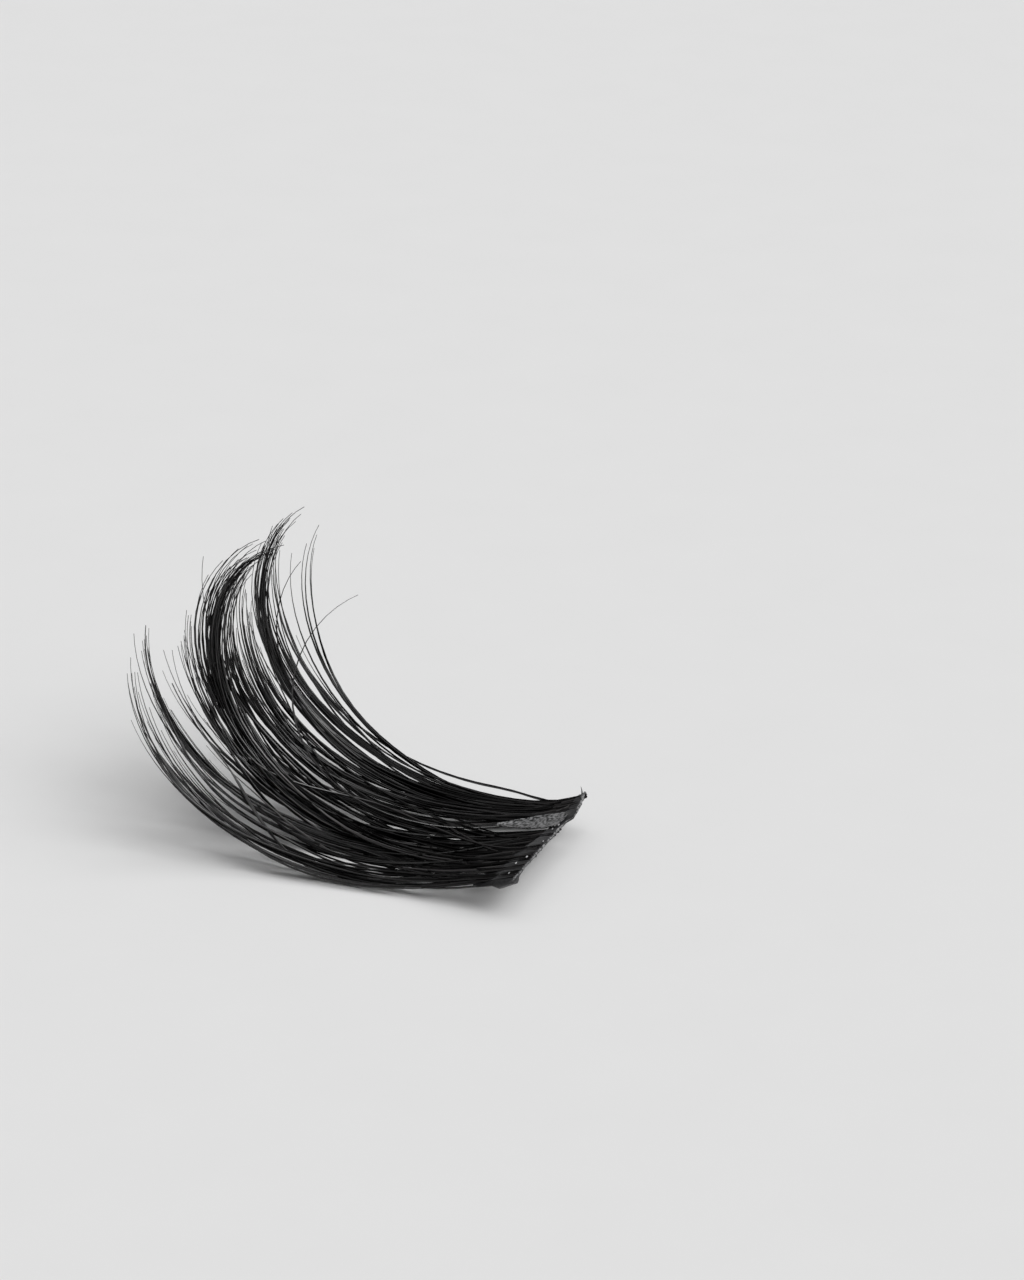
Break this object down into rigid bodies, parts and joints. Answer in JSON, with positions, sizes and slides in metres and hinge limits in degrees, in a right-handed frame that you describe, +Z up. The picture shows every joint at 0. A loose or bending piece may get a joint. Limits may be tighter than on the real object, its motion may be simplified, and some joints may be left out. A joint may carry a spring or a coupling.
{
  "type": "lash cluster",
  "caption": "False-lash cluster lying on its belly: black fibre locks fused at the root, curling up to fine points, held by a narrow adhesive band.",
  "frame": {"origin": "on the table, below the middle of the cluster's bounding box", "axes": "+X along the lashes towards the root band, +Y along the band towards its tapered end, +Z up from the table"},
  "size_m": [0.0098, 0.0072, 0.0069],
  "materials": {
    "lash_fibre": "satin black fibre",
    "set_adhesive": "glossy black set adhesive",
    "adhesive_film": "dull grey film"
  },
  "bodies": {
    "root": {"lash_fan": "lash_fibre", "root_band": "set_adhesive", "bond_web": "adhesive_film"}
  },
  "joints": []
}
